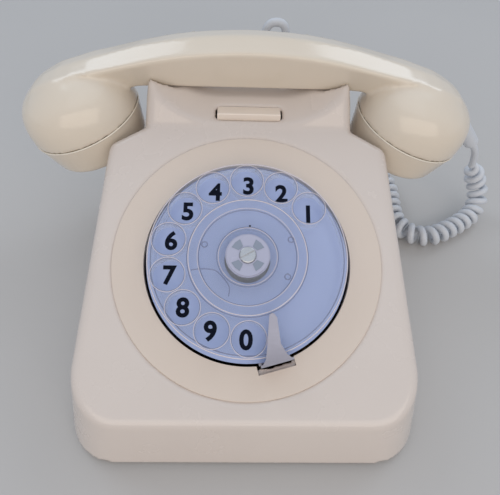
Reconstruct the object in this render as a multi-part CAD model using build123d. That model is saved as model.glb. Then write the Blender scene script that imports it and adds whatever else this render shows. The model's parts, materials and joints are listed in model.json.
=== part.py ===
from build123d import *
import os
from math import cos, pi, radians, sin, tan

# Rotary desk telephone, millimetres. X runs right, Y runs back, Z up. The origin is on the table,
# under the middle of the case and handset. The handset rests on its cradle and the dial is at rest.

# Case
CASE_HALF_WIDTH = 86.0
CASE_HALF_DEPTH = 99.0
CASE_BOTTOM = 2.5
CASE_CORNER = 24.0
CASE_WALL = 3.0
LOFT_TOP = 125.0
SIDE_DRAFT = 9.5
FRONT_DRAFT = 12.0
REAR_DRAFT = 5.0

# Sloping face that carries the dial
FACE_SLOPE = 23.6
FACE_LOW_Y = -90.6
FACE_LOW_Z = 35.3
DIAL_UP_FACE = 73.4

# Cradle tower
TOWER_FOOT_Z = 60.0
TOWER_TOP_Z = 115.0
TOWER_FOOT_HALF = 58.0
TOWER_TOP_HALF = 52.0
TOWER_FRONT_Y = 42.5
TOWER_FRONT_Z = 93.5
TOWER_LEAN = 0.72
TOWER_REAR_Y = 91.0
SADDLE_START_Y = 36.0
SADDLE_Z = 91.6
SADDLE_FLAT = 10.0
SADDLE_ARC = 120.0
SADDLE_CREST_Y = 60.0
CREST_Z = 100.2
CREST_FLAT = 15.0
CREST_ARC = 52.0
NOTCH_FRONT_Y = 59.6
NOTCH_REAR_Y = 79.5
NOTCH_Z = 103.9

# Shoulders under the cups
SHOULDER_Y = 42.7
SHOULDER_FALL = 0.55
SHOULDER_ROUND = 6.0
FACE_ROUND = 4.5
DECK_TILT = 18.0
DECK_X = 85.2
DECK_Z = 57.5

# Fixings
SCREW_X = 40.0
SCREW_Y = -76.0
SCREW_RADIUS = 1.5
BOSS_TOP = 38.5
FOOT_X = 58.0
FOOT_Y = 76.0
FOOT_RADIUS = 8.0
GONG_LOW = 14.0
GONG_RISE = 12.0
CLAPPER_Y = 22.0

# Carrying recess in the back
RECESS_HALF = 42.0
RECESS_Y = 69.0
RECESS_LOW = 56.0
RECESS_HIGH = 84.0

# Handset
SWITCH_Z = 71.0
SWITCH_HALF = 25.0
SWITCH_POST_X = 22.4
SWITCH_POST_TOP = 95.0
CUP_X = 90.5
CUP_Y = 61.5
CUP_Z = 84.0
CUP_TILT = 18.0
CUP_RADIUS = 31.5
DOME_HEIGHT = 28.5
CAP_DEPTH = 18.0
HANDLE_FRONT_Y = 53.0
HANDLE_MIDDLE_Y = 65.0
HANDLE_REAR_Y = 77.0
HANDLE_LOW_FRONT_Y = 60.8
HANDLE_LOW_REAR_Y = 73.2
HANDLE_FRONT_DROP = 3.6
HANDLE_REAR_DROP = 2.4
HANDLE_STATIONS = (-86, -72, -50, -25, 0, 25, 50, 72, 86)
SAG_FROM_X = 52.0
SAG_SPREAD = 110.0
DOME_WALL = 3.2
CAP_RIM = 27.0
HANDLE_TOP_Z = 130.8
HANDLE_ARC = 235.0
HANDLE_BOTTOM_Z = 104.2
HANDLE_END_X = 105.0

# Dial, measured from its centre along the face normal
BEZEL_RADIUS = 64.8
BEZEL_BORE = 49.6
WHEEL_RADIUS = 46.8
WHEEL_TOP = 8.2
WHEEL_LOW = 2.4
HOLE_CIRCLE = 37.8
HOLE_RADIUS = 7.5
COLLAR_RADIUS = 8.3
HOLE_STEP = 360 / 14
FIRST_HOLE = 39.8
STOP_ANGLE = -74.5
STOP_SKEW = 3.2
TAB_ANGLES = (10, 90, 170)
TAB_REACH = 57.5
TAB_SCREW = 54.0
MODULE = 0.8
MAIN_TEETH = 48
PINION_TEETH = 12
ROTOR_TEETH = 10
GEAR_LOW = -17.0
GEAR_HIGH = -15.0
PINION_ANGLE = 150.0
ROTOR_ANGLE = 30.0

# Bell, cradle switch and circuit board
FLOOR_Z = 4.5
GONG_X = 28.0
GONG_Y = 40.0
GONG_RADIUS = 23.0
BAR_HALF = 16.6
BAR_FRONT_Y = 46.6
BAR_REAR_Y = 53.6
BAR_TOP_Z = 98.2
BAR_LOW_Z = 85.0
LEVER_Y = 61.0
LEVER_Z = 80.5

# Cords
CURLY_OUTER = 14.4
WIRE = 4.2
LINE = 5.0
EXIT_Z = 14.0
HANDSET_EXIT_X = 62.0
LINE_EXIT_X = 30.0
GROMMET_RADIUS = 5.0
GROMMET_Y = 101.0
BOOT_START = (118.2, 70.0, 86.5)
BOOT_ALONG = (0.68, 0.13, -0.72)
BOOT_LENGTH = 33.0
BOOT_WIDE = 6.0
BOOT_NARROW = 4.3
BOOT_COLLAR = 6.6
BOOT_BORE = 12.0
CURLY_TOP_ROUTE = [(141.0, 74.35, 62.35), (146.4, 75.4, 56.6), (149.5, 77.2, 49.0), (152, 79, 41)]
CURLY_ROUTE = [
    (152, 79, 41), (157.3, 82.3, 31.5), (163.5, 79.5, 22), (165.2, 72.8, 13.2), (160.5, 64.6, 7.8),
    (151.5, 57.6, 7.6), (142.5, 51.8, 7.5), (133, 46.3, 7.6), (122, 42.6, 7.5), (110.9, 45.8, 7.6),
    (104.4, 55.2, 7.5), (103.9, 67, 7.6), (105.3, 79.3, 7.5), (105.8, 92, 7.6), (102.8, 105, 7.7),
    (96.5, 117, 7.5)]
CURLY_BASE_ROUTE = [
    (96.5, 117, 7.5), (90.6, 128, 7.2), (79.4, 133.2, 7), (68.3, 130.4, 8.6), (62.4, 119.6, 11.5),
    (62.2, 108, 13.4), (62, 101, 14)]
LINE_ROUTE = [
    (30, 101, 14), (30, 116, 15), (30.5, 125, 27), (29, 124, 48), (26, 119, 71), (23.5, 115, 91),
    (21.7, 113, 103.5), (21.4, 112.4, 116), (10.4, 112.4, 116), (9, 113.2, 104), (6, 116, 90),
    (3, 123, 69), (1, 132, 45), (0, 144, 23), (0, 158, 8.5), (0.3, 170, 3.2), (0, 181, 2.7)]
LINE_COIL_X = -27.5
LINE_COIL_Y = 188.0
LINE_COIL_RADIUS = 27.5
LINE_COIL_SECTION = 15.0
LINE_END_ROUTE = [(-12, 217.5, 2.7), (-24.5, 226.5, 2.7), (-39, 231.5, 3.1), (-54, 232.8, 4.2)]

os.makedirs("parts", exist_ok=True)
slope = radians(FACE_SLOPE)
dial_y = FACE_LOW_Y + DIAL_UP_FACE * cos(slope)
dial_z = FACE_LOW_Z + DIAL_UP_FACE * sin(slope)
dial_place = Location((0, dial_y, dial_z), (FACE_SLOPE, 0, 0))


def save(name, shape):
    export_step(shape, "parts/" + name + ".step")


def ring(outer, inner, low, high):
    height = high - low
    body = Cylinder(outer, height) - Cylinder(inner, height * 2)
    return Pos(0, 0, (low + high) / 2) * body


def rod(radius, low, high):
    return Pos(0, 0, (low + high) / 2) * Cylinder(radius, high - low)


def block(x0, x1, y0, y1, z0, z1):
    centre = Pos((x0 + x1) / 2, (y0 + y1) / 2, (z0 + z1) / 2)
    return centre * Box(x1 - x0, y1 - y0, z1 - z0)


# --- Case ---------------------------------------------------------------------------------------


def case_wedge(inset, bottom):
    """Drafted box cut by the sloping face; inset gives the inner skin."""
    def level(z):
        rise = z - CASE_BOTTOM
        half = CASE_HALF_WIDTH - inset - rise * tan(radians(SIDE_DRAFT))
        front = -CASE_HALF_DEPTH + inset + rise * tan(radians(FRONT_DRAFT))
        rear = CASE_HALF_DEPTH - inset - rise * tan(radians(REAR_DRAFT))
        outline = RectangleRounded(2 * half, rear - front, CASE_CORNER - inset)
        return Pos(0, (front + rear) / 2, z) * outline

    body = loft([level(bottom), level(LOFT_TOP)], ruled=True)
    face = Plane(origin=(0, FACE_LOW_Y, FACE_LOW_Z), x_dir=(1, 0, 0), z_dir=(0, -sin(slope), cos(slope)))
    above = face.offset(-inset) * Pos(0, 0, 150) * Box(400, 600, 300)
    return body - above


def tower(inset):
    """Raised block under the handset, narrower towards its top."""
    def level(z, half):
        front = TOWER_FRONT_Y + (z - TOWER_FRONT_Z) * TOWER_LEAN + inset
        rear = TOWER_REAR_Y - (z - TOWER_FOOT_Z) * tan(radians(REAR_DRAFT)) - inset
        outline = RectangleRounded(2 * (half - inset), rear - front, 6)
        return Pos(0, (front + rear) / 2, z) * outline

    foot = level(TOWER_FOOT_Z, TOWER_FOOT_HALF)
    return loft([foot, level(TOWER_TOP_Z - inset, TOWER_TOP_HALF)], ruled=True)


def saddle_cut(grow):
    """Scoop that rises towards the handle, the trough behind it and the notch the handle lies in."""
    def scoop(y, low, flat, arc):
        """Flat floor with an arc up each side, in the plane at y."""
        plane = Plane(origin=(0, y, 0), x_dir=(1, 0, 0), z_dir=(0, -1, 0))
        floor = Line((-flat, low - grow), (flat, low - grow))
        right = CenterArc((flat, low + arc), arc + grow, -90, 90)
        left = CenterArc((-flat, low + arc), arc + grow, 180, 90)
        lid = Line(left @ 0, right @ 1)
        return plane * make_face([floor, right, lid, left])

    crest = scoop(SADDLE_CREST_Y, CREST_Z, CREST_FLAT, CREST_ARC)
    rising = loft([scoop(SADDLE_START_Y, SADDLE_Z, SADDLE_FLAT, SADDLE_ARC), crest], ruled=True)
    trough = extrude(crest, amount=-60)
    notch_side = Plane(origin=(-100, 0, 0), x_dir=(0, 1, 0), z_dir=(1, 0, 0))
    notch_outline = make_face(Polyline(
        (NOTCH_FRONT_Y - grow, NOTCH_Z - grow), (NOTCH_REAR_Y + grow, NOTCH_Z - grow),
        (NOTCH_REAR_Y + grow, 160), (NOTCH_FRONT_Y - 18 - grow, 160), close=True))
    notch = extrude(notch_side * notch_outline, amount=200)
    return rising + trough + notch


def deck_cut(grow):
    """Space for the cups: everything above two tilted floors, behind the shoulder line."""
    far_y = SHOULDER_Y - SHOULDER_FALL * (120 - TOWER_FOOT_HALF) - grow
    outline = make_face(Polyline(
        (-1, SHOULDER_Y - grow), (TOWER_FOOT_HALF, SHOULDER_Y - grow), (120, far_y), (120, 130),
        (-1, 130), close=True))
    column = extrude(Pos(0, 0, 30) * outline, amount=120)
    floor = Pos(DECK_X, 0, DECK_Z - grow) * Rot(0, DECK_TILT, 0) * Pos(0, 0, -100) * Box(400, 400, 200)
    right = column - floor
    return right + mirror(right, Plane.YZ)


def case_body(inset, bottom):
    body = case_wedge(inset, bottom)
    body = body - deck_cut(inset)
    body = body + tower(inset)
    return body - saddle_cut(inset)


def on_face(edge):
    """True for an edge that lies in the sloping face, in front of the cradle."""
    def off(point):
        return abs((point.Z - FACE_LOW_Z) * cos(slope) - (point.Y - FACE_LOW_Y) * sin(slope))
    flat = max(off(edge @ 0), off(edge @ 0.5), off(edge @ 1)) < 0.01
    return flat and (edge @ 0.5).Y < SHOULDER_Y - 0.5


def is_shoulder_corner(edge):
    """True for the steep edges where the shoulder line meets the side walls."""
    middle = edge @ 0.5
    tall = abs((edge @ 0).Z - (edge @ 1).Z) > 12
    return tall and abs(abs(middle.X) - 73) < 4 and abs(middle.Y - 35) < 4


def case_shell():
    """Moulded shell with the dial opening, cradle bar slot, carrying recess and cord holes."""
    outer = case_body(0, CASE_BOTTOM)
    outer = fillet([e for e in outer.edges() if is_shoulder_corner(e)], SHOULDER_ROUND)
    outer = fillet([e for e in outer.edges() if on_face(e)], FACE_ROUND)
    inner = case_body(CASE_WALL, CASE_BOTTOM - 1)
    grip = block(-RECESS_HALF, RECESS_HALF, RECESS_Y, 150, RECESS_LOW, RECESS_HIGH)
    wide = RECESS_HALF + CASE_WALL
    lining = block(-wide, wide, RECESS_Y - CASE_WALL, 150, RECESS_LOW - CASE_WALL, RECESS_HIGH + CASE_WALL)
    shell = outer - (inner - lining) - grip
    for x in (-SCREW_X, SCREW_X):
        shell = shell + Pos(x, SCREW_Y, 0) * rod(4.5, FLOOR_Z, BOSS_TOP)
        shell = shell - Pos(x, SCREW_Y, 0) * rod(SCREW_RADIUS + 0.1, 0, BOSS_TOP - 12)
    shell = shell - dial_place * rod(BEZEL_BORE + 1.2, -12, 12)
    shell = shell - dial_place * rod(BEZEL_RADIUS + 0.2, -1.6, 6)
    for angle in TAB_ANGLES:
        shell = shell - dial_place * Rot(0, 0, angle) * Pos(TAB_SCREW, 0, 0) * rod(1.5, -6, -1.9)
    gap = 0.5
    slot = block(-BAR_HALF - gap, BAR_HALF + gap, BAR_FRONT_Y - gap, BAR_REAR_Y + gap, BAR_LOW_Z, 120)
    shell = shell - slot
    for x in (HANDSET_EXIT_X, LINE_EXIT_X):
        shell = shell - Pos(x, CASE_HALF_DEPTH, EXIT_Z) * Rot(90, 0, 0) * Cylinder(GROMMET_RADIUS, 30)
    return shell


def dial_bezel():
    """Flush ring round the dial, with a notch for the foot of the finger stop."""
    body = ring(BEZEL_RADIUS, BEZEL_BORE, -1.6, 0.5) + ring(BEZEL_BORE + 1, BEZEL_BORE, -3, 0)
    body = fillet(body.edges().group_by(Axis.Z)[-1].sort_by(SortBy.LENGTH)[-1], 0.4)
    notch = Rot(0, 0, STOP_ANGLE) * block(BEZEL_BORE - 4, BEZEL_BORE + 3.4, -8.8, 8.8, -12, 6)
    return dial_place * (body - notch)


def plunger_bar():
    bar = block(-BAR_HALF, BAR_HALF, BAR_FRONT_Y, BAR_REAR_Y, BAR_LOW_Z, BAR_TOP_Z)
    bar = fillet(bar.edges().group_by(Axis.Z)[-1], 0.6)
    flange = block(-BAR_HALF - 2, BAR_HALF + 2, BAR_FRONT_Y - 1, BAR_REAR_Y + 1.5, BAR_LOW_Z - 2, BAR_LOW_Z)
    return bar + flange


def base_plate():
    half = CASE_HALF_WIDTH - CASE_WALL - 1.2
    deep = CASE_HALF_DEPTH - CASE_WALL - 1.2
    plate = extrude(Pos(0, 0, 3) * RectangleRounded(2 * half, 2 * deep, CASE_CORNER - 5), amount=1.5)
    for x, y in foot_places():
        plate = plate - Pos(x, y, 0) * rod(2.5, 0, 10)
    for x in (-SCREW_X, SCREW_X):
        plate = plate - Pos(x, SCREW_Y, 0) * rod(SCREW_RADIUS + 0.3, 0, 10)
    return plate


def foot_places():
    return [(x, y) for x in (-FOOT_X, FOOT_X) for y in (-FOOT_Y, FOOT_Y)]


def rubber_feet():
    foot = rod(FOOT_RADIUS, 0, 3) + rod(2.5, 3, FLOOR_Z)
    foot = fillet(foot.edges().group_by(Axis.Z)[0], 0.8)
    return Compound([Pos(x, y, 0) * foot for x, y in foot_places()])


def case_screws():
    screw = rod(3.4, 1, 3) + rod(SCREW_RADIUS, 3, BOSS_TOP - 14)
    screw = screw - block(-4, 4, -0.4, 0.4, 0, 1.7)
    return Compound([Pos(x, SCREW_Y, 0) * screw for x in (-SCREW_X, SCREW_X)])


# --- Dial ---------------------------------------------------------------------------------------


def number_plate():
    return dial_place * ring(BEZEL_BORE - 1.3, 11, -1.5, -0.3)


def hole_angles():
    return [FIRST_HOLE + HOLE_STEP * k for k in range(10)]


def finger_wheel():
    """Clear wheel: plate, rim, ten collars, straight ribs between them and the raised hub rings."""
    wheel = ring(WHEEL_RADIUS, 4, 5.6, 7.2) + ring(WHEEL_RADIUS, WHEEL_RADIUS - 1.6, WHEEL_LOW, WHEEL_TOP)
    wheel = wheel + ring(28, 23, 7.2, WHEEL_TOP + 0.5) + ring(14, 4, 3.2, WHEEL_TOP)
    for angle in hole_angles():
        wheel = wheel + Rot(0, 0, angle) * Pos(HOLE_CIRCLE, 0, 0) * rod(COLLAR_RADIUS, WHEEL_LOW, WHEEL_TOP)
    for angle in hole_angles()[:-1]:
        rib = Pos(HOLE_CIRCLE + 5.6, 0, 0) * block(-0.5, 0.5, -4.5, 4.5, WHEEL_LOW + 1, WHEEL_TOP)
        wheel = wheel + Rot(0, 0, angle + HOLE_STEP / 2) * rib
    for angle in hole_angles():
        wheel = wheel - Rot(0, 0, angle) * Pos(HOLE_CIRCLE, 0, 0) * rod(HOLE_RADIUS, -5, 20)
    return dial_place * wheel


def hub_clamp():
    clamp = ring(10.4, 4, WHEEL_TOP, WHEEL_TOP + 1)
    return dial_place * (clamp + ring(9.8, 4, WHEEL_TOP + 1, WHEEL_TOP + 1.6))


def dial_centre_screw():
    top = WHEEL_TOP + 2.6
    screw = rod(3.9, WHEEL_TOP, top) + rod(1.5, 0, WHEEL_TOP)
    screw = fillet(screw.edges().group_by(Axis.Z)[-1], 0.6)
    return dial_place * (screw - Rot(0, 0, 30) * block(-5, 5, -0.5, 0.5, top - 0.9, top + 1))


def finger_stop():
    """Bent plate: foot behind the bezel, leg up past the wheel, and a tapering hook over it."""
    outer = BEZEL_BORE + 0.6
    leg = block(outer - 1.1, outer, -7.4, 7.4, -3, 11)
    foot = block(outer - 9, outer, -7.4, 7.4, -3.0, -2.2)
    hook = make_face(Polyline(
        (outer, -7.4), (outer, 7.4), (outer - 3, 5), (outer - 8, 3.6), (31, STOP_SKEW + 1.9),
        (29, STOP_SKEW + 1.1), (28.5, STOP_SKEW), (29, STOP_SKEW - 1.1), (31, STOP_SKEW - 1.9),
        (outer - 8, -2.6), (outer - 3, -4.6), close=True))
    body = leg + foot + extrude(Pos(0, 0, 10.2) * hook, amount=0.9)
    return dial_place * Rot(0, 0, STOP_ANGLE) * body


def shaft_place(teeth, angle):
    """Axis of a small gear that meshes with the main gear."""
    away = MODULE * (MAIN_TEETH + teeth) / 2 + 0.15
    return Rot(0, 0, angle) * Pos(away, 0, 0)


def dial_chassis():
    plate = ring(44, 5, -4.6, -3.1)
    back = ring(27, 3.06, -31, -29.5)
    posts = [Rot(0, 0, a) * Pos(24, 0, 0) * rod(2.2, -29.5, -4.6) for a in (90, 210, 270)]
    boss = ring(6, 3.06, -9, -4.6) + ring(6, 5, -4.6, -3.1)
    body = plate + back + boss
    for post in posts:
        body = body + post
    for teeth, angle in ((PINION_TEETH, PINION_ANGLE), (ROTOR_TEETH, ROTOR_ANGLE)):
        place = shaft_place(teeth, angle)
        body = body + place * rod(4, -31, -29.5) - place * rod(1.55, -40, -29) - place * rod(1.55, -8, 0)
    for angle in TAB_ANGLES:
        tab = block(38, TAB_REACH, -5, 5, -4.6, -3.05) - Pos(TAB_SCREW, 0, 0) * rod(1.6, -10, 0)
        body = body + Rot(0, 0, angle) * tab
    return dial_place * body


def dial_fixing_screws():
    screw = rod(2.8, -6.6, -4.6) + rod(1.5, -4.6, -1.9)
    return Compound([dial_place * Rot(0, 0, a) * Pos(TAB_SCREW, 0, 0) * screw for a in TAB_ANGLES])


def dial_spindle():
    body = rod(3, -33, 3.2) + ring(8, 2, -14.8, -12.8) + rod(4.0, 3.2, 5.6)
    return dial_place * (body - rod(1.5, 0, 10))


def gear(teeth, low, high):
    """Straight-sided teeth, kept narrow so that a meshed pair clears itself all the way round."""
    root = MODULE * teeth / 2 - 0.95
    tip = MODULE * teeth / 2 + 0.62
    wide = 0.40 * MODULE
    narrow = 0.24 * MODULE
    tooth = make_face(Polyline(
        (root - 0.4, -wide), (tip, -narrow), (tip, narrow), (root - 0.4, wide), close=True))
    outline = Circle(root)
    for k in range(teeth):
        outline = outline + Rot(0, 0, 360 * k / teeth) * tooth
    return extrude(Pos(0, 0, low) * outline, amount=high - low)


def main_gear():
    return dial_place * (gear(MAIN_TEETH, GEAR_LOW, GEAR_HIGH) - rod(3, -40, 0))


def meshed(teeth, angle):
    """Turn of a small gear that puts a gap where the main gear has a tooth."""
    facing = angle + 180
    main_phase = angle * MAIN_TEETH / 360 % 1
    own_phase = facing * teeth / 360
    return Rot(0, 0, (own_phase + main_phase + 0.5) * 360 / teeth)


def pulse_pinion():
    place = shaft_place(PINION_TEETH, PINION_ANGLE)
    turn = meshed(PINION_TEETH, PINION_ANGLE)
    wheel = turn * gear(PINION_TEETH, GEAR_LOW - 0.5, GEAR_HIGH + 0.5)
    return dial_place * place * (wheel + rod(1.5, -31, -3.3))


def impulse_cam():
    place = shaft_place(PINION_TEETH, PINION_ANGLE)
    cam = rod(4.5, -25, -22)
    for a in (0, 180):
        cam = cam + Rot(0, 0, a) * block(0, 6.5, -1.5, 1.5, -25, -22)
    return dial_place * place * (cam - rod(1.5, -30, -10))


def governor_rotor():
    place = shaft_place(ROTOR_TEETH, ROTOR_ANGLE)
    turn = meshed(ROTOR_TEETH, ROTOR_ANGLE)
    body = turn * gear(ROTOR_TEETH, GEAR_LOW - 0.5, GEAR_HIGH + 0.5) + rod(1.5, -31, -3.3)
    body = body + block(-7, 7, -0.8, 0.8, -24, -22.5)
    for side in (-1, 1):
        body = body + Pos(6.2 * side, 0, 0) * rod(1.8, -25.5, -21)
    return dial_place * place * body


def governor_cup():
    place = shaft_place(ROTOR_TEETH, ROTOR_ANGLE)
    return dial_place * place * (ring(10.5, 9.3, -29.5, -20.5) + ring(10.5, 2, -29.5, -28.5))


def main_spring():
    return dial_place * ring(10.5, 3.3, -28.5, -22)


def impulse_contacts():
    """Stack of spring blades beside the impulse cam."""
    body = block(-3.5, 3.5, -4, 4, -29.5, -20)
    for z in (-27.5, -25, -22.5):
        body = body + block(-3, 3, -8.5, -4, z, z + 0.4)
    return dial_place * Rot(0, 0, 190) * Pos(24, 0, 0) * body


# --- Inside the case ----------------------------------------------------------------------------


def circuit_board():
    return block(-56, 56, -62, -14, 9, 10.6)


def board_standoffs():
    places = [(x, y) for x in (-50, 50) for y in (-56, -20)]
    return Compound([Pos(x, y, 0) * rod(3, FLOOR_Z, 9) for x, y in places])


def terminal_block():
    body = block(-50, -6, -58, -48, 10.6, 18)
    for k in range(6):
        body = body - Pos(-46 + 7.2 * k, -53, 0) * rod(2, 14, 20)
    return body


def induction_coil():
    core = block(10, 34, -58, -38, 10.6, 20)
    return core + block(14, 30, -62, -34, 12, 18.6)


def capacitor():
    return Pos(-28, -34, 15.7) * Rot(0, 90, 0) * Cylinder(5, 30)


def bell_frame():
    frame = block(-38, 38, GONG_Y - 7, GONG_Y + 7, FLOOR_Z, FLOOR_Z + 2)
    frame = frame + block(-14, 14, -4, GONG_Y + 7, FLOOR_Z, FLOOR_Z + 2)
    for x in (-GONG_X, GONG_X):
        frame = frame + Pos(x, GONG_Y, 0) * rod(4, FLOOR_Z + 2, GONG_LOW + GONG_RISE - 1.6)
        frame = frame - Pos(x, GONG_Y, 0) * rod(1.5, GONG_LOW, 60)
    pivot = Pos(0, CLAPPER_Y, 0) * rod(1.5, FLOOR_Z + 2, 26)
    cheeks = block(-14, -12, -3, 16, FLOOR_Z + 2, 24) + block(12, 14, -3, 16, FLOOR_Z + 2, 24)
    return frame + cheeks + pivot


def bell_gong():
    """Shallow cup, open side down."""
    profile = Polyline(
        (1.6, GONG_RISE), (12, GONG_RISE), (GONG_RADIUS - 2, GONG_RISE - 4), (GONG_RADIUS, 0),
        (GONG_RADIUS - 1.6, 0), (GONG_RADIUS - 3.6, GONG_RISE - 5.4), (11.6, GONG_RISE - 1.6),
        (1.6, GONG_RISE - 1.6), close=True)
    return revolve(make_face(Plane.XZ * profile), Axis.Z)


def bell_gong_at(x):
    return Pos(x, GONG_Y, GONG_LOW) * bell_gong()


def gong_screws():
    top = GONG_LOW + GONG_RISE
    screw = rod(3.5, top, top + 2) + rod(1.5, top - 8, top)
    return Compound([Pos(x, GONG_Y, 0) * screw for x in (-GONG_X, GONG_X)])


def bell_coil():
    spool = Rot(90, 0, 0) * Cylinder(6.5, 17)
    pair = [Pos(x, 6.5, 15) * spool for x in (-5.2, 5.2)]
    return pair[0] + pair[1]


def bell_clapper():
    """Arm that swings about an upright pin, with a ball between the gongs."""
    hub = Pos(0, CLAPPER_Y, 0) * ring(3.2, 1.56, 15, 23)
    arm = block(-0.9, 0.9, CLAPPER_Y + 2.6, GONG_Y, 18.2, 20)
    ball = Pos(0, GONG_Y, 19.1) * Sphere(2.7)
    return hub + arm + ball


def hook_switch_frame():
    plate = block(-SWITCH_HALF, SWITCH_HALF, 40, 65, SWITCH_Z - 2, SWITCH_Z)
    for x in (-SWITCH_POST_X, SWITCH_POST_X):
        plate = plate + Pos(x, 50, 0) * rod(2.6, SWITCH_Z, SWITCH_POST_TOP)
    for x in (9.0, 17.6):
        plate = plate + block(x, x + 1.8, LEVER_Y - 3, LEVER_Y + 3, SWITCH_Z, LEVER_Z + 3)
    hole = Pos(0, LEVER_Y, LEVER_Z) * Rot(0, 90, 0) * Cylinder(1.25, 60)
    return plate - hole


def hook_switch_contacts():
    body = block(-18, -8, 54, 62, SWITCH_Z, SWITCH_Z + 9)
    for z in (73, 76, 79):
        body = body + block(-17, -9, 46, 54, z, z + 0.4)
    return body


def hook_switch_lever():
    arm = block(11.2, 17.2, 45, LEVER_Y, LEVER_Z - 0.6, LEVER_Z + 0.6)
    pin = Pos(14.2, LEVER_Y, LEVER_Z) * Rot(0, 90, 0) * Cylinder(1.2, 10.6)
    return arm + pin


def plunger_spring():
    middle = (BAR_FRONT_Y + BAR_REAR_Y) / 2
    return Pos(0, middle, 0) * ring(4.2, 3, SWITCH_Z, BAR_LOW_Z - 2)


# --- Handset ------------------------------------------------------------------------------------


def cup_place(side):
    """Frame of a cup: origin in the parting plane, Z up through the dome."""
    return Location((side * CUP_X, CUP_Y, CUP_Z), (0, side * CUP_TILT, 0))


def cup_dome():
    bulge = Spline(
        (CUP_RADIUS, 0), (CUP_RADIUS - 0.5, 9), (CUP_RADIUS - 5, 19), (14, 26.5), (0, DOME_HEIGHT),
        tangents=[(0, 1), (-1, 0)])
    base = Polyline((0, DOME_HEIGHT), (0, 0), (CUP_RADIUS, 0))
    return revolve(make_face(Plane.XZ * (bulge + base)), Axis.Z)


def handle_section(x, points):
    plane = Plane(origin=(x, 0, 0), x_dir=(0, 1, 0), z_dir=(1, 0, 0))
    return plane * make_face(Polyline(*points, close=True))


def handle_end(x):
    """Small section that ends the bar inside a cup."""
    return handle_section(x, [(60.0, 90.0), (57.5, 101.0), (63.0, 103.0), (68.0, 101.0), (67.0, 90.0)])


def handle():
    """Five-sided bar that follows the arched back of the handset."""
    sections = [handle_end(-HANDLE_END_X)]
    for x in HANDLE_STATIONS:
        drop = x * x / (2 * HANDLE_ARC)
        sag = max(0, abs(x) - SAG_FROM_X) ** 2 / SAG_SPREAD
        low = HANDLE_BOTTOM_Z - sag
        sections.append(handle_section(x, [
            (HANDLE_LOW_FRONT_Y, low),
            (HANDLE_FRONT_Y, HANDLE_TOP_Z - HANDLE_FRONT_DROP - drop),
            (HANDLE_MIDDLE_Y, HANDLE_TOP_Z - drop),
            (HANDLE_REAR_Y, HANDLE_TOP_Z - HANDLE_REAR_DROP - drop),
            (HANDLE_LOW_REAR_Y, low)]))
    sections.append(handle_end(HANDLE_END_X))
    return loft(sections)


def handset_shell():
    body = handle()
    for side in (-1, 1):
        body = body + cup_place(side) * cup_dome()
    for side in (-1, 1):
        body = body - cup_place(side) * (rod(CUP_RADIUS - DOME_WALL, -1, 9) + rod(15, 8, 16))
    return body - block(-90, 90, 62, 72, 108, 118)


def cap(holes):
    """Screw-on cap with a rounded rim and sound holes."""
    outline = Polyline((0, 0), (CUP_RADIUS - 0.1, 0), (CAP_RIM + 0.9, -CAP_DEPTH + 3.5))
    rim = Spline(
        (CAP_RIM + 0.9, -CAP_DEPTH + 3.5), (CAP_RIM - 3, -CAP_DEPTH), tangents=[(-0.25, -1), (-1, 0)])
    close = Polyline((CAP_RIM - 3, -CAP_DEPTH), (0, -CAP_DEPTH + 1.6), (0, 0))
    body = revolve(make_face(Plane.XZ * (outline + rim + close)), Axis.Z)
    body = body - Pos(0, 0, -CAP_DEPTH / 2 + 2.2) * Cylinder(CAP_RIM - 3.5, CAP_DEPTH)
    for k in range(holes):
        body = body - Rot(0, 0, 360 * k / holes) * Pos(7, 0, 0) * rod(1.1, -30, 0)
    return body - rod(1.1, -30, 0)


def capsule(place):
    return place * (rod(CAP_RIM - 3.8, -10, -2) + rod(18, -2, 3))


def capsule_contacts():
    parts = []
    for side in (-1, 1):
        body = rod(8, 3, 7.5)
        for x in (-4, 4):
            body = body + block(x - 1, x + 1, -6, 6, 7.5, 8.6)
        parts.append(cup_place(side) * body)
    return Compound(parts)


def boot_place():
    """Frame of the cord boot, Z along the cord as it leaves the cup."""
    plane = Plane(origin=BOOT_START, z_dir=BOOT_ALONG)
    return plane.location


def handset_cord_boot():
    flare = Pos(0, 0, BOOT_LENGTH / 2) * Cone(BOOT_WIDE, BOOT_NARROW, BOOT_LENGTH)
    collar = rod(BOOT_COLLAR, -3, 4)
    body = flare + collar - rod(WIRE / 2, BOOT_LENGTH - BOOT_BORE, BOOT_LENGTH + 5)
    return boot_place() * body - handset_cup_space()


def handset_cup_space():
    return cup_place(1) * cup_dome()


# --- Cords --------------------------------------------------------------------------------------


def cord_path(name, points):
    """Straight runs joined by the largest tangent arcs that the runs allow."""
    places = [Vector(*p) for p in points]
    radii = []
    for before, here, after in zip(places, places[1:], places[2:]):
        turn = radians((here - before).get_angle(after - here))
        run = min((here - before).length, (after - here).length)
        radii.append(0.45 * run / tan(turn / 2))
    print(name, "radii", [round(r, 1) for r in radii])
    return FilletPolyline(*places, radius=radii)


def cord_tube(name, points, diameter):
    path = cord_path(name, points)
    start = Plane(origin=path @ 0, z_dir=path % 0)
    tube = sweep(start * Circle(diameter / 2), path)
    ideal = pi * diameter ** 2 / 4 * path.length
    print(name, "length", round(path.length, 1), "volume ratio", round(tube.volume / ideal, 4))
    return tube


def grommet(x):
    """Flanged ring in the back of the case, where a cord comes out."""
    body = ring(GROMMET_RADIUS, 1.6, 0, 6) + ring(GROMMET_RADIUS + 2, 1.6, 3.6, 6)
    return Pos(x, GROMMET_Y - 6, EXIT_Z) * Rot(-90, 0, 0) * body


def line_cord_coil():
    return Pos(LINE_COIL_X, LINE_COIL_Y, 0) * ring(
        LINE_COIL_RADIUS + LINE_COIL_SECTION / 2, LINE_COIL_RADIUS - LINE_COIL_SECTION / 2,
        0.1, 0.1 + LINE_COIL_SECTION)


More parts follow.
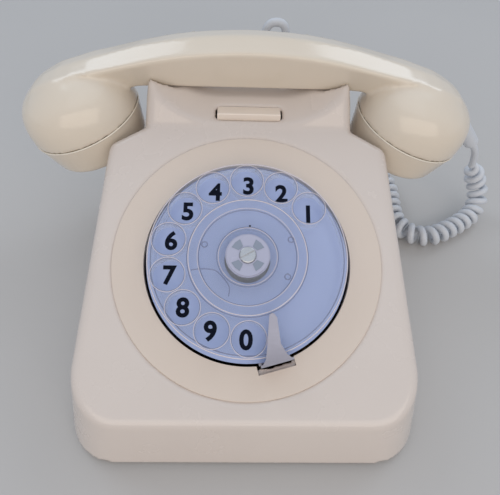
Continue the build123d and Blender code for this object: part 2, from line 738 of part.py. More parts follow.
def plug_place():
    end = Vector(*LINE_END_ROUTE[-1])
    along = end - Vector(*LINE_END_ROUTE[-2])
    return Plane(origin=end, x_dir=(0, 0, 1), z_dir=along).location


def line_plug():
    """Small rectangular plug at the end of the line cord."""
    body = Pos(1.0, 0, 11) * Box(7, 10, 22)
    body = body + rod(LINE / 2 + 1.0, 0, 4)
    return plug_place() * (body - block(-3.0, -0.8, -4, 4, 14, 23))


def line_plug_contacts():
    blades = [plug_place() * block(-2.8, -1.0, y - 0.4, y + 0.4, 14, 21) for y in (-3, -1, 1, 3)]
    return Compound(blades)


def line_plug_latch():
    return plug_place() * (block(4.5, 5.7, -2.2, 2.2, 10, 22) + block(4.5, 7.0, -2.2, 2.2, 20.4, 22))


save("case_shell", case_shell())
save("dial_bezel", dial_bezel())
save("plunger_bar", plunger_bar())
save("base_plate", base_plate())
save("rubber_feet", rubber_feet())
save("case_screws", case_screws())
save("number_plate", number_plate())
save("finger_wheel", finger_wheel())
save("hub_clamp", hub_clamp())
save("dial_centre_screw", dial_centre_screw())
save("finger_stop", finger_stop())
save("dial_chassis", dial_chassis())
save("dial_fixing_screws", dial_fixing_screws())
save("dial_spindle", dial_spindle())
save("main_spring", main_spring())
save("main_gear", main_gear())
save("pulse_pinion", pulse_pinion())
save("impulse_cam", impulse_cam())
save("governor_rotor", governor_rotor())
save("governor_cup", governor_cup())
save("impulse_contacts", impulse_contacts())
save("circuit_board", circuit_board())
save("board_standoffs", board_standoffs())
save("terminal_block", terminal_block())
save("induction_coil", induction_coil())
save("capacitor", capacitor())
save("bell_frame", bell_frame())
save("bell_gong_left", bell_gong_at(-GONG_X))
save("bell_gong_right", bell_gong_at(GONG_X))
save("gong_screws", gong_screws())
save("bell_coil", bell_coil())
save("bell_clapper", bell_clapper())
save("hook_switch_frame", hook_switch_frame())
save("hook_switch_contacts", hook_switch_contacts())
save("hook_switch_lever", hook_switch_lever())
save("plunger_spring", plunger_spring())
save("handset_shell", handset_shell())
save("earpiece_cap", cup_place(-1) * cap(6))
save("mouthpiece_cap", cup_place(1) * cap(10))
save("receiver_capsule", capsule(cup_place(-1)))
save("transmitter_capsule", capsule(cup_place(1)))
save("capsule_contacts", capsule_contacts())
save("handset_cord_boot", handset_cord_boot())
save("handset_cord_grommet", grommet(HANDSET_EXIT_X))
save("line_cord_grommet", grommet(LINE_EXIT_X))
save("handset_cord_top", cord_tube("handset_cord_top", CURLY_TOP_ROUTE, WIRE))
save("handset_cord_curl", cord_tube("handset_cord_curl", CURLY_ROUTE, CURLY_OUTER))
save("handset_cord_base", cord_tube("handset_cord_base", CURLY_BASE_ROUTE, WIRE))
save("line_cord", cord_tube("line_cord", LINE_ROUTE, LINE) - line_cord_coil())
save("line_cord_coil", line_cord_coil())
save("line_cord_end", cord_tube("line_cord_end", LINE_END_ROUTE, LINE) - line_cord_coil())
save("line_plug", line_plug())
save("line_plug_contacts", line_plug_contacts())
save("line_plug_latch", line_plug_latch())
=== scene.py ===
import json
import math

import bmesh
import bpy
from mathutils import Matrix, Vector

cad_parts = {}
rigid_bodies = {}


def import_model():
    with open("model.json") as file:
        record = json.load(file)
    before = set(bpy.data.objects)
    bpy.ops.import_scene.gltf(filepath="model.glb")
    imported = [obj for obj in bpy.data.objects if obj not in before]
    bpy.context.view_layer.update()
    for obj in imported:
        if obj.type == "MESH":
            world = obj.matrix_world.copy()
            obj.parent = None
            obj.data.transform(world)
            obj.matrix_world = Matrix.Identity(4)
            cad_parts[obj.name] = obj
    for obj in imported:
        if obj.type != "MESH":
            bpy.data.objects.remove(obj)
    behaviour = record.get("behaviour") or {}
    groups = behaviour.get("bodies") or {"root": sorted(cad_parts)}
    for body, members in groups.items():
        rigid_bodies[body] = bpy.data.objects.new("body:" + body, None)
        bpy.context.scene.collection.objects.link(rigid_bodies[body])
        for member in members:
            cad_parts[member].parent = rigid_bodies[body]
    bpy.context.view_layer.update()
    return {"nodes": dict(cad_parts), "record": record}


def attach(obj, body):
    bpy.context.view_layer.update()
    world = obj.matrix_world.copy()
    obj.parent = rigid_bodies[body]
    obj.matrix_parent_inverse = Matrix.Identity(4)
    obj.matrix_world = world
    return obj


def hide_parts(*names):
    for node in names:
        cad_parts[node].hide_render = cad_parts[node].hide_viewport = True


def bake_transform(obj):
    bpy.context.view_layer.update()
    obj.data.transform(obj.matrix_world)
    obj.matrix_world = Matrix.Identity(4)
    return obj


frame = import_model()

scene = bpy.context.scene
for spare in [o for o in scene.objects if o.name in ("Cube", "Light", "Camera")]:
    bpy.data.objects.remove(spare)
record = frame["record"]
nodes = frame["nodes"]


# Camera: stands in front of the telephone, a little to the left, and looks down at it.
CAMERA_PLACE = (-0.00441, -0.15547, 0.23707)
CAMERA_YAW = 2.33
CAMERA_PITCH = 50.89
CAMERA_ROLL = -2.73
CAMERA_LENS = 32.52


def make_camera():
    yaw, pitch, roll = (math.radians(a) for a in (CAMERA_YAW, CAMERA_PITCH, CAMERA_ROLL))
    forward = Vector((math.sin(yaw) * math.cos(pitch), math.cos(yaw) * math.cos(pitch), -math.sin(pitch)))
    level = Vector((math.cos(yaw), -math.sin(yaw), 0))
    down = forward.cross(level)
    right = math.cos(roll) * level + math.sin(roll) * down
    low = -math.sin(roll) * level + math.cos(roll) * down
    data = bpy.data.cameras.new("camera")
    data.sensor_width = 36
    data.lens = CAMERA_LENS
    data.clip_start = 0.01
    camera = bpy.data.objects.new("camera", data)
    turn = Matrix((right, -low, -forward)).transposed()
    camera.matrix_world = Matrix.Translation(CAMERA_PLACE) @ turn.to_4x4()
    scene.collection.objects.link(camera)
    scene.camera = camera


make_camera()


# Cords: widths in metres, routes in millimetres
WIRE = 0.0045
CURLY_OUTER = 0.0140
PITCH = 0.0071
LINE = 0.005
TURN_STEPS = 20
GROW_STEPS = 30
TAIL_STEP = 0.002
LINE_STEP = 0.0018
CURLY_TOP_ROUTE = [(141.0, 74.35, 62.35), (146.4, 75.4, 56.6), (149.5, 77.2, 49.0), (152, 79, 41)]
CURLY_ROUTE = [
    (152, 79, 41), (157.3, 82.3, 31.5), (163.5, 79.5, 22), (165.2, 72.8, 13.2), (160.5, 64.6, 7.8),
    (151.5, 57.6, 7.6), (142.5, 51.8, 7.5), (133, 46.3, 7.6), (122, 42.6, 7.5), (110.9, 45.8, 7.6),
    (104.4, 55.2, 7.5), (103.9, 67, 7.6), (105.3, 79.3, 7.5), (105.8, 92, 7.6), (102.8, 105, 7.7),
    (96.5, 117, 7.5)]
CURLY_BASE_ROUTE = [
    (96.5, 117, 7.5), (90.6, 128, 7.2), (79.4, 133.2, 7), (68.3, 130.4, 8.6), (62.4, 119.6, 11.5),
    (62.2, 108, 13.4), (62, 101, 14)]
LINE_ROUTE = [
    (30, 101, 14), (30, 116, 15), (30.5, 125, 27), (29, 124, 48), (26, 119, 71), (23.5, 115, 91),
    (21.7, 113, 103.5), (21.4, 112.4, 116), (10.4, 112.4, 116), (9, 113.2, 104), (6, 116, 90),
    (3, 123, 69), (1, 132, 45), (0, 144, 23), (0, 158, 8.5), (0.3, 170, 3.2), (0, 181, 2.7)]
LINE_END_ROUTE = [(-12, 217.5, 2.7), (-24.5, 226.5, 2.7), (-39, 231.5, 3.1), (-54, 232.8, 4.2)]


def metres(points):
    return [Vector(p) / 1000 for p in points]


def nurbs(name, points):
    data = bpy.data.curves.new(name, "CURVE")
    data.dimensions = "3D"
    data.resolution_u = 12
    spline = data.splines.new("NURBS")
    spline.points.add(len(points) - 1)
    for place, point in zip(spline.points, points):
        place.co = (*point, 1)
    spline.order_u = 3
    spline.use_endpoint_u = True
    piece = bpy.data.objects.new(name, data)
    scene.collection.objects.link(piece)
    return piece


def centreline(points):
    """Points along the smooth route, from its spline without a bevel."""
    helper = nurbs("helper", points)
    bpy.context.view_layer.update()
    mesh = bpy.data.meshes.new_from_object(helper)
    places = [v.co.copy() for v in mesh.vertices]
    bpy.data.objects.remove(helper)
    bpy.data.meshes.remove(mesh)
    return places


def evenly(places, step):
    """The same line with its points a fixed step apart."""
    out = [places[0]]
    left = step
    for a, b in zip(places, places[1:]):
        run = (b - a).length
        done = 0
        while run - done > left:
            done += left
            out.append(a.lerp(b, done / run))
            left = step
        left -= run - done
    return out + [places[-1]]


def frames(places):
    """A pair of directions across the line at each of its points, turned as little as possible."""
    along = [(b - a).normalized() for a, b in zip(places, places[1:])]
    along.append(along[-1])
    across = along[0].orthogonal().normalized()
    pairs = []
    for direction in along:
        across = (across - across.dot(direction) * direction).normalized()
        pairs.append((across.copy(), direction.cross(across)))
    return pairs


def tube(name, places, radius, sides):
    mesh = bmesh.new()
    rings = []
    for place, (u, v) in zip(places, frames(places)):
        ring = []
        for k in range(sides):
            a = 2 * math.pi * k / sides
            ring.append(mesh.verts.new(place + radius * (math.cos(a) * u + math.sin(a) * v)))
        rings.append(ring)
    for one, two in zip(rings, rings[1:]):
        for k in range(sides):
            mesh.faces.new((one[k], one[(k + 1) % sides], two[(k + 1) % sides], two[k]))
    mesh.faces.new(list(reversed(rings[0])))
    mesh.faces.new(rings[-1])
    data = bpy.data.meshes.new(name)
    mesh.normal_update()
    mesh.to_mesh(data)
    mesh.free()
    for face in data.polygons:
        face.use_smooth = True
    piece = bpy.data.objects.new(name, data)
    scene.collection.objects.link(piece)
    return piece


def wound_line(places):
    """Helix round the curly stretch; its radius grows from nothing at both ends."""
    places = evenly(places, PITCH / TURN_STEPS)
    radius = (CURLY_OUTER - WIRE) / 2
    pairs = frames(places)
    out = []
    last = len(places) - 1
    for k, (place, (u, v)) in enumerate(zip(places, pairs)):
        grow = min(1, k / GROW_STEPS, (last - k) / GROW_STEPS)
        a = 2 * math.pi * k / TURN_STEPS
        out.append(place + radius * grow * (math.cos(a) * u + math.sin(a) * v))
    return out


top_line = evenly(centreline(metres(CURLY_TOP_ROUTE)), TAIL_STEP)
curl_line = wound_line(centreline(metres(CURLY_ROUTE)))
base_line = evenly(centreline(metres(CURLY_BASE_ROUTE)), TAIL_STEP)
handset_line = list(reversed(top_line[:-1] + curl_line[1:-1] + base_line[1:]))
handset_cord = tube("handset_cord", handset_line, WIRE / 2, 10)
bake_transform(handset_cord)
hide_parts("handset_cord_top", "handset_cord_curl", "handset_cord_base")


COIL_CENTRE = Vector((-27.5, 188, 0))
COIL_START = 10
COIL_STEPS = 16
COIL_CHANGE = 4
COIL_LAST_STEPS = 3
COIL_GROW = 1.012
INNER, MIDDLE_TURN, OUTER = 22.5, 27.5, 32.4
LOWEST, SECOND, THIRD = 2.6, 7.7, 12.6
COIL_TURNS = [
    (MIDDLE_TURN, LOWEST), (INNER, LOWEST), (INNER, SECOND), (MIDDLE_TURN, SECOND), (OUTER, SECOND),
    (OUTER, THIRD), (MIDDLE_TURN, THIRD), (INNER, THIRD), (OUTER, LOWEST)]


def coil_points():
    """Turns that lie beside and on each other, each changing place over its last steps."""
    points = []
    final = len(COIL_TURNS) - 1
    for turn, (radius, height) in enumerate(COIL_TURNS):
        after = COIL_TURNS[min(turn + 1, final)]
        last = COIL_STEPS if turn < final else COIL_LAST_STEPS
        for k in range(last):
            a = math.radians(COIL_START) + 2 * math.pi * k / COIL_STEPS
            change = max(0, (k - COIL_STEPS + COIL_CHANGE) / COIL_CHANGE)
            r = radius + (after[0] - radius) * change
            z = height + (after[1] - height) * change
            points.append(COIL_CENTRE + Vector((r * math.cos(a) * COIL_GROW, r * math.sin(a) * COIL_GROW, z)))
    return [tuple(p) for p in points]


line_points = metres(LINE_ROUTE + coil_points() + LINE_END_ROUTE[1:])
line_places = evenly(centreline(line_points), LINE_STEP)
line_cord = tube("line_lead", line_places, LINE / 2, 12)
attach(line_cord, "case")
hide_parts("line_cord", "line_cord_coil", "line_cord_end")


# Materials
def new_material(name):
    material = bpy.data.materials.new(name)
    material.use_nodes = True
    tree = material.node_tree
    shader = tree.nodes["Principled BSDF"]
    return material, tree, shader


def add(tree, kind, **inputs):
    node = tree.nodes.new(kind)
    for name, value in inputs.items():
        node.inputs[name.replace("_", " ")].default_value = value
    return node


def noise(tree, scale, detail=4.0, stretch=None):
    coords = tree.nodes.new("ShaderNodeTexCoord")
    texture = add(tree, "ShaderNodeTexNoise", Scale=scale, Detail=detail)
    if stretch:
        mapping = add(tree, "ShaderNodeMapping", Scale=stretch)
        tree.links.new(coords.outputs["Object"], mapping.inputs["Vector"])
        tree.links.new(mapping.outputs["Vector"], texture.inputs["Vector"])
    else:
        tree.links.new(coords.outputs["Object"], texture.inputs["Vector"])
    return texture


def remap(tree, source, low, high, start=0.3, end=0.7):
    node = add(tree, "ShaderNodeMapRange", From_Min=start, From_Max=end, To_Min=low, To_Max=high)
    tree.links.new(source, node.inputs["Value"])
    return node.outputs["Result"]


def vary_colour(tree, shader, source, one, two):
    ramp = tree.nodes.new("ShaderNodeValToRGB")
    ramp.color_ramp.elements[0].position = 0.3
    ramp.color_ramp.elements[1].position = 0.7
    ramp.color_ramp.elements[0].color = (*one, 1)
    ramp.color_ramp.elements[1].color = (*two, 1)
    tree.links.new(source, ramp.inputs["Fac"])
    tree.links.new(ramp.outputs["Color"], shader.inputs["Base Color"])


def bump(tree, shader, source, strength, distance):
    node = add(tree, "ShaderNodeBump", Strength=strength, Distance=distance)
    tree.links.new(source, node.inputs["Height"])
    tree.links.new(node.outputs["Normal"], shader.inputs["Normal"])


def plastic(name, one, two, rough, coat=0.0, grain=1400, strength=0.06, ior=1.5):
    """Moulded plastic: faint clouding, fine grain and patchy gloss."""
    material, tree, shader = new_material(name)
    broad = noise(tree, 14, 5)
    vary_colour(tree, shader, broad.outputs["Fac"], one, two)
    patches = noise(tree, 45, 6)
    gloss = remap(tree, patches.outputs["Fac"], rough * 0.85, rough * 1.25)
    tree.links.new(gloss, shader.inputs["Roughness"])
    bump(tree, shader, noise(tree, grain, 3).outputs["Fac"], strength, 0.0001)
    shader.inputs["IOR"].default_value = ior
    shader.inputs["Coat Weight"].default_value = coat
    shader.inputs["Coat Roughness"].default_value = 0.06
    return material


def metal(name, one, two, rough, stretch=(1, 1, 30), strength=0.15):
    """Metal with fine drawn lines and a slightly mottled colour."""
    material, tree, shader = new_material(name)
    shader.inputs["Metallic"].default_value = 1.0
    vary_colour(tree, shader, noise(tree, 60, 5).outputs["Fac"], one, two)
    lines = noise(tree, 160, 4, stretch)
    tree.links.new(remap(tree, lines.outputs["Fac"], rough * 0.75, rough * 1.35), shader.inputs["Roughness"])
    bump(tree, shader, lines.outputs["Fac"], strength, 0.00005)
    return material


def clear(name, tint, low, high, rough=0.03):
    """Clear plastic: see-through face on, denser at its edges, with faint scuffs."""
    material, tree, shader = new_material(name)
    vary_colour(tree, shader, noise(tree, 30, 3).outputs["Fac"], tint, tuple(min(1, c * 1.04) for c in tint))
    facing = add(tree, "ShaderNodeLayerWeight", Blend=0.35)
    tree.links.new(remap(tree, facing.outputs["Facing"], low, high, 0.05, 0.95), shader.inputs["Alpha"])
    scuffs = noise(tree, 300, 6)
    tree.links.new(remap(tree, scuffs.outputs["Fac"], rough, rough * 4, 0.5, 0.8), shader.inputs["Roughness"])
    bump(tree, shader, noise(tree, 90, 2).outputs["Fac"], 0.05, 0.0002)
    shader.inputs["IOR"].default_value = 1.49
    shader.inputs["Coat Weight"].default_value = 0.6
    shader.inputs["Coat Roughness"].default_value = 0.02
    return material


MATERIALS = {
    "ivory": plastic("ivory", (0.645, 0.575, 0.53), (0.665, 0.60, 0.555), 0.24, 0.4),
    "ivory_handset": plastic("ivory_handset", (0.725, 0.645, 0.54), (0.745, 0.67, 0.565), 0.17, 0.25),
    # Painted highlight: brighter, glossier ivory for the thin ring at each cup's seam
    "ivory_seam_highlight": plastic("ivory_seam_highlight", (0.80, 0.74, 0.64), (0.82, 0.76, 0.66), 0.12, 0.7),
    "ivory_bezel": plastic("ivory_bezel", (0.66, 0.57, 0.495), (0.68, 0.59, 0.515), 0.34, 0.1),
    "clear": clear("clear", (0.80, 0.83, 0.90), 0.05, 0.55),
    "plunger": plastic("plunger", (0.84, 0.74, 0.65), (0.86, 0.77, 0.69), 0.16, 0.5),
    # Painted highlight: bright pinkish ivory for the thin rings on the wheel's collars, raised ring, rim and
    # hub
    "painted_highlight": plastic("painted_highlight", (0.66, 0.60, 0.64), (0.72, 0.66, 0.70), 0.12, 0.6, 900, 0.03),
    # Painted shade: dark bluish lines beside the wheel's bright rings; the same dark also serves the wheel's
    # pips and the card's edge line
    "dark_line_and_painted_shade": plastic("dark_line_and_painted_shade", (0.20, 0.23, 0.36), (0.26, 0.29, 0.44), 0.2, 0.5, 900, 0.03),
    "void": plastic("void", (0.004, 0.004, 0.005), (0.008, 0.008, 0.01), 0.6, 0, 900, 0.03),
    "hub": plastic("hub", (0.42, 0.43, 0.56), (0.46, 0.48, 0.61), 0.25, 0.5, 900, 0.03),
    "hub_window": plastic("hub_window", (0.24, 0.28, 0.36), (0.28, 0.32, 0.41), 0.2, 0.5, 900, 0.03),
    "clear_plug": clear("clear_plug", (0.80, 0.83, 0.88), 0.25, 0.85),
    "plate_print": plastic("plate_print", (0.365, 0.445, 0.70), (0.395, 0.475, 0.74), 0.2, 0.4, 900, 0.04),
    "steel": metal("steel", (0.50, 0.51, 0.53), (0.60, 0.61, 0.63), 0.30),
    "zinc": metal("zinc", (0.42, 0.43, 0.44), (0.52, 0.53, 0.54), 0.50, (6, 6, 6), 0.25),
    "stop": metal("stop", (0.50, 0.45, 0.48), (0.58, 0.53, 0.56), 0.14, (1, 1, 30), 0.05),
    "brass": metal("brass", (0.62, 0.45, 0.20), (0.70, 0.52, 0.25), 0.28),
    "gong": metal("gong", (0.56, 0.49, 0.32), (0.66, 0.58, 0.38), 0.24, (2, 2, 40)),
    "copper": metal("copper", (0.42, 0.16, 0.06), (0.52, 0.22, 0.09), 0.35, (30, 2, 2), 0.5),
    "rubber": plastic("rubber", (0.018, 0.018, 0.018), (0.03, 0.03, 0.03), 0.75, 0, 2200, 0.3),
    "dark_plastic": plastic("dark_plastic", (0.02, 0.02, 0.022), (0.035, 0.035, 0.038), 0.45, 0, 1200, 0.15),
    "grey_plastic": plastic("grey_plastic", (0.16, 0.165, 0.18), (0.2, 0.205, 0.22), 0.4),
    "board": plastic("board", (0.16, 0.085, 0.03), (0.2, 0.11, 0.04), 0.5, 0, 500, 0.3),
    "white_gear": plastic("white_gear", (0.68, 0.68, 0.63), (0.72, 0.72, 0.68), 0.4),
    "cord": plastic("cord", (0.58, 0.61, 0.66), (0.63, 0.66, 0.71), 0.42, 0.05, 900, 0.12),
}
ink = plastic("ink", (0.004, 0.006, 0.014), (0.007, 0.009, 0.02), 0.5, 0, 1500, 0.05, 1.15)

OWN_FINISH = {"plunger_bar": "plunger", "hub_clamp": "hub", "finger_stop": "stop"}
slots = {entry["node"]: entry["material_slot"] for entry in record["subparts"]}
for name, piece in nodes.items():
    piece.data.materials.clear()
    piece.data.materials.append(MATERIALS[OWN_FINISH.get(name, slots[name])])
for piece in (handset_cord, line_cord):
    piece.data.materials.clear()
    piece.data.materials.append(MATERIALS["cord"])


# Softened edges on the moulded and metal pieces
def soften(name, width, angle=24):
    piece = nodes[name]
    cut = piece.modifiers.new("edge", "BEVEL")
    cut.width = width
    cut.segments = 3
    cut.limit_method = "ANGLE"
    cut.angle_limit = math.radians(angle)
    cut.use_clamp_overlap = True
    cut.harden_normals = False


EDGE_WIDTHS = {"dial_bezel": 0.0003, "finger_stop": 0.00022, "plunger_bar": 0.0004}
for name, width in EDGE_WIDTHS.items():
    soften(name, width)


def melt(piece, voxel, rounds):
    """Fine skin over a moulded piece, relaxed so that its edges and joins are rounded."""
    skin = piece.modifiers.new("skin", "REMESH")
    skin.mode = "VOXEL"
    skin.voxel_size = voxel
    skin.use_smooth_shade = True
    relax = piece.modifiers.new("relax", "SMOOTH")
    relax.factor = 0.5
    relax.iterations = rounds


CASE_VOXEL = 0.0013
CASE_ROUNDS = 5
melt(nodes["case_shell"], CASE_VOXEL, CASE_ROUNDS)


# Handset: the shell's own shape with the flat strip along its back carried on over both cups.
# Each row is x, then y and z of the strip's front edge, its ridge and its rear edge, in millimetres.
HANDSET_VOXEL = 0.0011
HANDSET_ROUNDS = 10
STRIP_DEPTH = 7
STRIP_TUCK = 4
STRIP = [
    (0, 53.0, 127.2, 65.0, 130.8, 77.0, 128.4), (30, 53.0, 125.3, 65.0, 128.9, 77.0, 126.5),
    (55, 53.0, 120.8, 65.0, 124.4, 77.0, 122.0), (72, 52.8, 116.9, 65.0, 119.8, 76.6, 117.7),
    (82, 52.4, 115.1, 64.6, 117.2, 76.0, 115.5), (91, 52.2, 113.4, 64.0, 114.6, 75.0, 113.2),
    (99, 52.3, 111.4, 63.2, 112.2, 73.5, 111.0), (106, 52.8, 108.4, 62.4, 109.2, 71.6, 107.9),
    (112, 53.6, 104.9, 61.8, 105.6, 69.8, 104.5), (117, 55.0, 99.6, 61.6, 100.2, 68.0, 99.3)]


def strip_solid(mesh, side):
    """Closed bar under the strip's three lines, from the middle of the handle to the cup's far side."""
    rings = []
    for x, front_y, front_z, top_y, top_z, rear_y, rear_z in STRIP:
        low = min(front_z, rear_z) - STRIP_DEPTH
        line = [
            (front_y, front_z), (top_y, top_z), (rear_y, rear_z), (rear_y - STRIP_TUCK, low),
            (front_y + STRIP_TUCK, low)]
        rings.append([mesh.verts.new((side * x / 1000, y / 1000, z / 1000)) for y, z in line])
    for one, two in zip(rings, rings[1:]):
        for k in range(5):
            mesh.faces.new((one[k], one[(k + 1) % 5], two[(k + 1) % 5], two[k]))
    mesh.faces.new(rings[0])
    mesh.faces.new(rings[-1])


def make_handset():
    mesh = bmesh.new()
    for side in (-1, 1):
        strip_solid(mesh, side)
    bmesh.ops.recalc_face_normals(mesh, faces=mesh.faces)
    mesh.from_mesh(nodes["handset_shell"].data)
    data = bpy.data.meshes.new("handset_body")
    mesh.to_mesh(data)
    mesh.free()
    piece = bpy.data.objects.new("handset_body", data)
    scene.collection.objects.link(piece)
    melt(piece, HANDSET_VOXEL, HANDSET_ROUNDS)
    bpy.context.view_layer.update()
    graph = bpy.context.evaluated_depsgraph_get()
    done = bpy.data.meshes.new_from_object(piece.evaluated_get(graph))
    piece.modifiers.clear()
    piece.data = done
    done.name = "handset_body"
    done.materials.clear()
    done.materials.append(MATERIALS["ivory_handset"])
    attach(piece, "handset")
    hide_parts("handset_shell")


make_handset()


# Painted highlight: a bright thin ring beside the seam of each cup
CUP = Vector((0.0905, 0.0615, 0.0840))
CUP_TILT = 18
SEAM_RADIUS = 0.0312
SEAM_THICK = 0.00045
SEAM_STEPS = 144


def seam_highlight(side):
    tilt = math.radians(CUP_TILT)
    across = Vector((side * math.cos(tilt), 0, -math.sin(tilt)))
    middle = Vector((side * CUP.x, CUP.y, CUP.z))
    places = []
    for k in range(SEAM_STEPS + 1):
        a = 2 * math.pi * k / SEAM_STEPS
        places.append(middle + SEAM_RADIUS * (math.cos(a) * across + math.sin(a) * Vector((0, 1, 0))))
    seam_glint = tube("seam_highlight_left" if side < 0 else "seam_highlight_right", places, SEAM_THICK, 8)
    seam_glint.data.materials.append(MATERIALS["ivory_seam_highlight"])
    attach(seam_glint, "handset")


for side in (-1, 1):
    seam_highlight(side)


# Printed digits on the number plate, in the dial's own plane
SLOPE = math.radians(23.6)
DIAL = Vector((0, -0.02334, 0.06469))
FACE = Matrix.Translation(DIAL) @ Matrix.Rotation(SLOPE, 4, "X")
HOLE_STEP = 360 / 14
DIGIT_SIZE = 0.0124
DIGIT_RADIUS = 0.0381
DIGIT_WEIGHT = 0.00042
DIGIT_THICK = 0.00004
DIGIT_HEIGHT = -0.00026
FIRST_DIGIT = 38.2


def text_piece(name, body, size, place, weight):
    data = bpy.data.curves.new(name, "FONT")
    data.body = body
    data.size = size
    data.align_x = "CENTER"
    data.align_y = "CENTER"
    data.extrude = DIGIT_THICK
    data.offset = weight
    data.resolution_u = 4
    helper = bpy.data.objects.new(name, data)
    scene.collection.objects.link(helper)
    bpy.context.view_layer.update()
    mesh = bpy.data.meshes.new_from_object(helper)
    bpy.data.objects.remove(helper)
    mesh.name = name
    mesh.transform(place)
    piece = bpy.data.objects.new(name, mesh)
    scene.collection.objects.link(piece)
    piece.data.materials.clear()
    piece.data.materials.append(ink)
    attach(piece, "case")
    return piece


for k in range(10):
    angle = math.radians(FIRST_DIGIT + k * HOLE_STEP)
    digit = str((k + 1) % 10)
    offset = (DIGIT_RADIUS * math.cos(angle), DIGIT_RADIUS * math.sin(angle), DIGIT_HEIGHT)
    text_piece("digit_" + digit, digit, DIGIT_SIZE, FACE @ Matrix.Translation(offset), DIGIT_WEIGHT)


# Fine lines of the clear wheel (painted highlight and shade rings, pips and the card's edge), in millimetres
# in the dial's own frame: x, y and height above its plane
RING_SIDES = 6
RING_STEPS = 96
HOLE_CIRCLE = 37.8
FIRST_HOLE = 39.8
MIDDLE = (0, 0)
CARD_LINE_HEIGHT = 7.3
CARD_LINE_THICK = 0.00026
CARD_EDGE = [
    (-26.1, -6.9), (-22.9, -6.1), (-15.7, -6.3), (-13.2, -7.9), (-9.4, -12.2), (-7.8, -15.4), (-8.6, -18.8)]


def on_face(x, y, height):
    return FACE @ (Vector((x, y, height)) / 1000)


def ring_line(mesh, centre, radius, height, thick):
    """Thin round bar bent into a ring that lies parallel to the dial."""
    loops = []
    for k in range(RING_STEPS):
        a = 2 * math.pi * k / RING_STEPS
        loop = []
        for j in range(RING_SIDES):
            b = 2 * math.pi * j / RING_SIDES
            r = radius + thick * math.cos(b)
            place = on_face(
                centre[0] + r * math.cos(a), centre[1] + r * math.sin(a), height + thick * math.sin(b))
            loop.append(mesh.verts.new(place))
        loops.append(loop)
    for k in range(RING_STEPS):
        one, two = loops[k], loops[(k + 1) % RING_STEPS]
        for j in range(RING_SIDES):
            mesh.faces.new((one[j], two[j], two[(j + 1) % RING_SIDES], one[(j + 1) % RING_SIDES]))


def ring_piece(name, rings, finish, body):
    """One piece from rings, each given by its centre, radius, height and thickness."""
    mesh = bmesh.new()
    for centre, radius, height, thick in rings:
        ring_line(mesh, centre, radius, height, thick)
    data = bpy.data.meshes.new(name)
    mesh.to_mesh(data)
    mesh.free()
    for face in data.polygons:
        face.use_smooth = True
    data.materials.append(MATERIALS[finish])
    piece = bpy.data.objects.new(name, data)
    scene.collection.objects.link(piece)
    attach(piece, body)


def hole_centre(k):
    a = math.radians(FIRST_HOLE + k * HOLE_STEP)
    return HOLE_CIRCLE * math.cos(a), HOLE_CIRCLE * math.sin(a)


def wheel_highlights_and_shades():
    """Painted highlights as thin bright rings on the collars, the raised ring, the rim and the hub, and a
    painted shade line beside each.
    """
    holes = [hole_centre(k) for k in range(10)]
    highlight_rings = [(hole, 8.1, 8.15, 0.15) for hole in holes]
    highlight_rings += [
        (MIDDLE, 27.6, 8.65, 0.24), (MIDDLE, 23.4, 8.65, 0.14), (MIDDLE, 46.45, 8.1, 0.24),
        (MIDDLE, 13.7, 8.15, 0.15)]
    ring_piece("wheel_painted_highlights", highlight_rings, "painted_highlight", "wheel")
    # Painted shade: a dark ring beside each bright one
    shade_rings = [(hole, 7.7, 7.9, 0.12) for hole in holes]
    shade_rings += [
        (MIDDLE, 28.3, 7.3, 0.2), (MIDDLE, 22.9, 7.4, 0.22), (MIDDLE, 45.1, 7.4, 0.25),
        (MIDDLE, 14.4, 7.3, 0.15)]
    ring_piece("wheel_painted_shades", shade_rings, "dark_line_and_painted_shade", "wheel")


WINDOW_TURNS = (45, 135, 225, 315)
WINDOW_OUTLINE = [(4.8, -17), (8.4, -19), (8.4, 0), (8.4, 19), (4.8, 17)]
WINDOW_HEIGHT = 9.86
WINDOW_THICK = 0.00008


def hub_windows():
    """Four wedge-shaped windows in the clamp, each outline given by radius and angle."""
    mesh = bmesh.new()
    for turn in WINDOW_TURNS:
        corners = []
        for radius, degrees in WINDOW_OUTLINE:
            a = math.radians(turn + degrees)
            corners.append(mesh.verts.new(on_face(radius * math.cos(a), radius * math.sin(a), WINDOW_HEIGHT)))
        mesh.faces.new(corners)
    solid = bmesh.ops.extrude_face_region(mesh, geom=list(mesh.faces))
    lift = FACE.to_3x3() @ Vector((0, 0, WINDOW_THICK))
    raised = [v for v in solid["geom"] if isinstance(v, bmesh.types.BMVert)]
    bmesh.ops.translate(mesh, verts=raised, vec=lift)
    data = bpy.data.meshes.new("hub_windows")
    mesh.to_mesh(data)
    mesh.free()
    data.materials.append(MATERIALS["hub_window"])
    piece = bpy.data.objects.new("hub_windows", data)
    scene.collection.objects.link(piece)
    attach(piece, "wheel")


def wheel_pips():
    spots = [(-20.2, 5.2), (20.2, 8.2), (18.4, -9.6)]
    ring_piece("wheel_pips", [(spot, 1.3, 8.3, 0.3) for spot in spots], "dark_line_and_painted_shade", "wheel")


def card_line():
    """Dark line of the card's edge, seen through the wheel."""
    points = [on_face(x, y, CARD_LINE_HEIGHT) for x, y in CARD_EDGE]
    line = tube("card_line", centreline(points), CARD_LINE_THICK, 6)
    line.data.materials.append(MATERIALS["dark_line_and_painted_shade"])
    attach(line, "wheel")


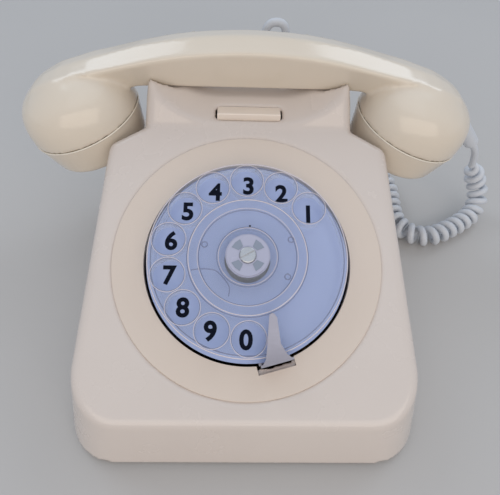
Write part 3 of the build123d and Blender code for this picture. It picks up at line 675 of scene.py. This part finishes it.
wheel_highlights_and_shades()
hub_windows()
wheel_pips()
card_line()
ring_piece("wheel_dot", [((0.9, 14.9), 0.25, 7.4, 0.25)], "void", "wheel")


# Floor and light
FLOOR_HALF = 3
SKY_COLOUR = (0.84, 0.90, 1.0)
SKY_STRENGTH = 0.55


def make_stage():
    data = bpy.data.meshes.new("floor")
    corners = [(-FLOOR_HALF, -FLOOR_HALF, 0), (FLOOR_HALF, -FLOOR_HALF, 0)]
    corners += [(FLOOR_HALF, FLOOR_HALF, 0), (-FLOOR_HALF, FLOOR_HALF, 0)]
    data.from_pydata(corners, [], [(0, 1, 2, 3)])
    floor = bpy.data.objects.new("floor", data)
    scene.collection.objects.link(floor)
    material, tree, shader = new_material("floor")
    vary_colour(tree, shader, noise(tree, 3, 4).outputs["Fac"], (0.50, 0.49, 0.48), (0.52, 0.51, 0.50))
    shader.inputs["Roughness"].default_value = 0.8
    data.materials.append(material)


def area_light(name, place, target, size, power, colour):
    data = bpy.data.lights.new(name, "AREA")
    data.shape = "RECTANGLE"
    data.size, data.size_y = size
    data.energy = power
    data.color = colour
    light = bpy.data.objects.new(name, data)
    light.location = place
    light.rotation_euler = (Vector(target) - Vector(place)).to_track_quat("-Z", "Y").to_euler()
    scene.collection.objects.link(light)


def make_world():
    world = bpy.data.worlds.new("world")
    world.use_nodes = True
    background = world.node_tree.nodes["Background"]
    background.inputs["Color"].default_value = (*SKY_COLOUR, 1)
    background.inputs["Strength"].default_value = SKY_STRENGTH
    scene.world = world


make_stage()
area_light("window_left", (-0.75, 0.75, 1.05), (0, 0, 0.05), (0.6, 0.6), 2.6, (0.80, 0.90, 1.0))
area_light("window_right", (0.75, 0.75, 1.0), (0, 0, 0.05), (0.55, 0.6), 2.4, (0.82, 0.91, 1.0))
area_light("fill_front", (0.1, -1.2, 0.75), (0, 0, 0.06), (2.2, 1.1), 10, (1.0, 0.86, 0.71))
area_light("sky", (0.0, 0.1, 1.6), (0, 0, 0), (1.6, 1.6), 2.5, (0.82, 0.90, 1.0))
make_world()
scene.view_settings.view_transform = "Standard"
